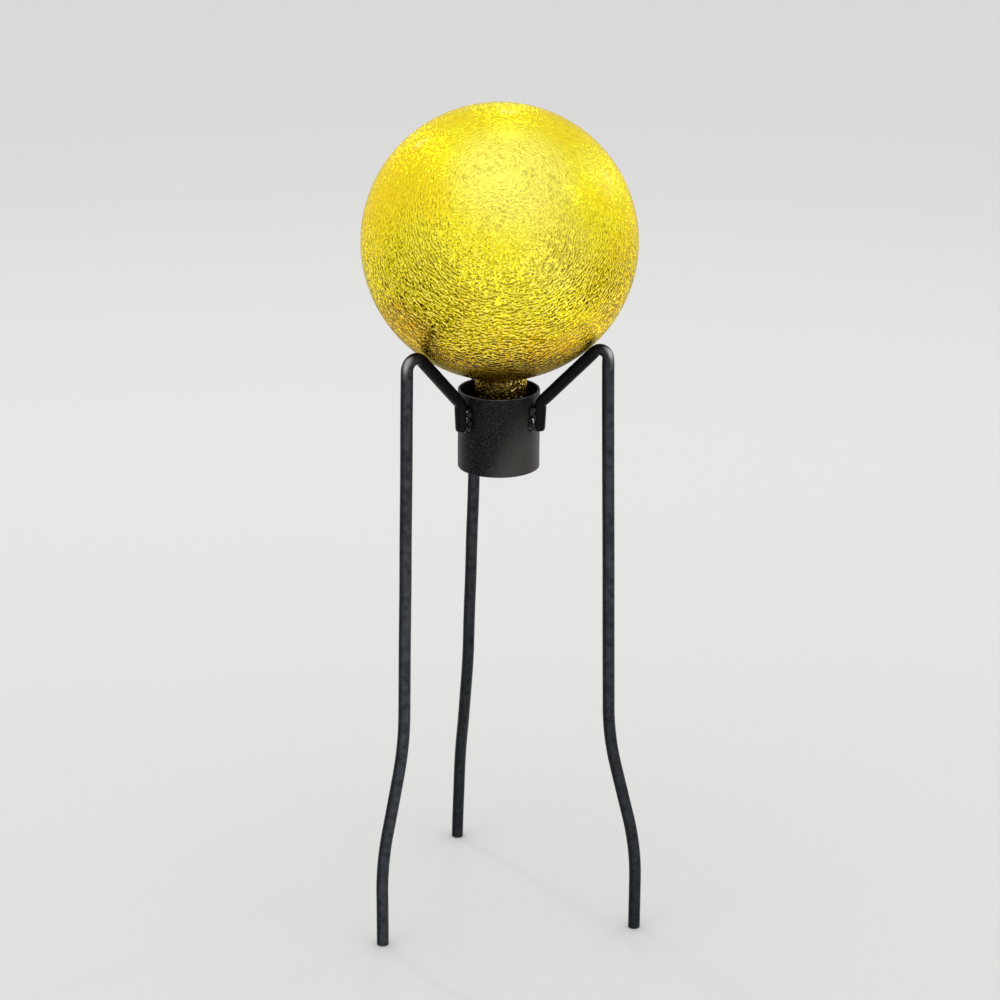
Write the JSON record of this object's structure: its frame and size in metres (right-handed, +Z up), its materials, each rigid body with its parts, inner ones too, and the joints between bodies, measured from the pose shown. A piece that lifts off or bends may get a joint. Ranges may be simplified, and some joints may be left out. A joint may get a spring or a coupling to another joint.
{
  "type": "gazing globe",
  "caption": "Silvered crackle-glass gazing globe resting on a wrought-iron tripod stand, with its neck hanging in the stand's collar.",
  "frame": {"origin": "on the ground, midway between the object's sides in X and in Y; the stand's own axis is at X 0.3 mm, Y -12.2 mm", "axes": "+Z up; the two front legs stand towards -Y on either side, and the back leg towards +Y"},
  "size_m": [0.2544, 0.2784, 0.7884],
  "materials": {
    "yellow_crackle_glass": "glossy crackled glass over a yellow mirror coat, opaque",
    "black_powder_coat": "satin black powder coat with a fine grain",
    "black_coated_weld": "the same coat over lumpy weld metal, shinier"
  },
  "bodies": {
    "root": {"glass_globe": "yellow_crackle_glass", "collar": "black_powder_coat", "leg_front_left": "black_powder_coat", "leg_front_right": "black_powder_coat", "leg_back": "black_powder_coat", "weld_front_left_a": "black_coated_weld", "weld_front_left_b": "black_coated_weld", "weld_front_right_a": "black_coated_weld", "weld_front_right_b": "black_coated_weld", "weld_back_a": "black_coated_weld", "weld_back_b": "black_coated_weld"}
  },
  "joints": []
}
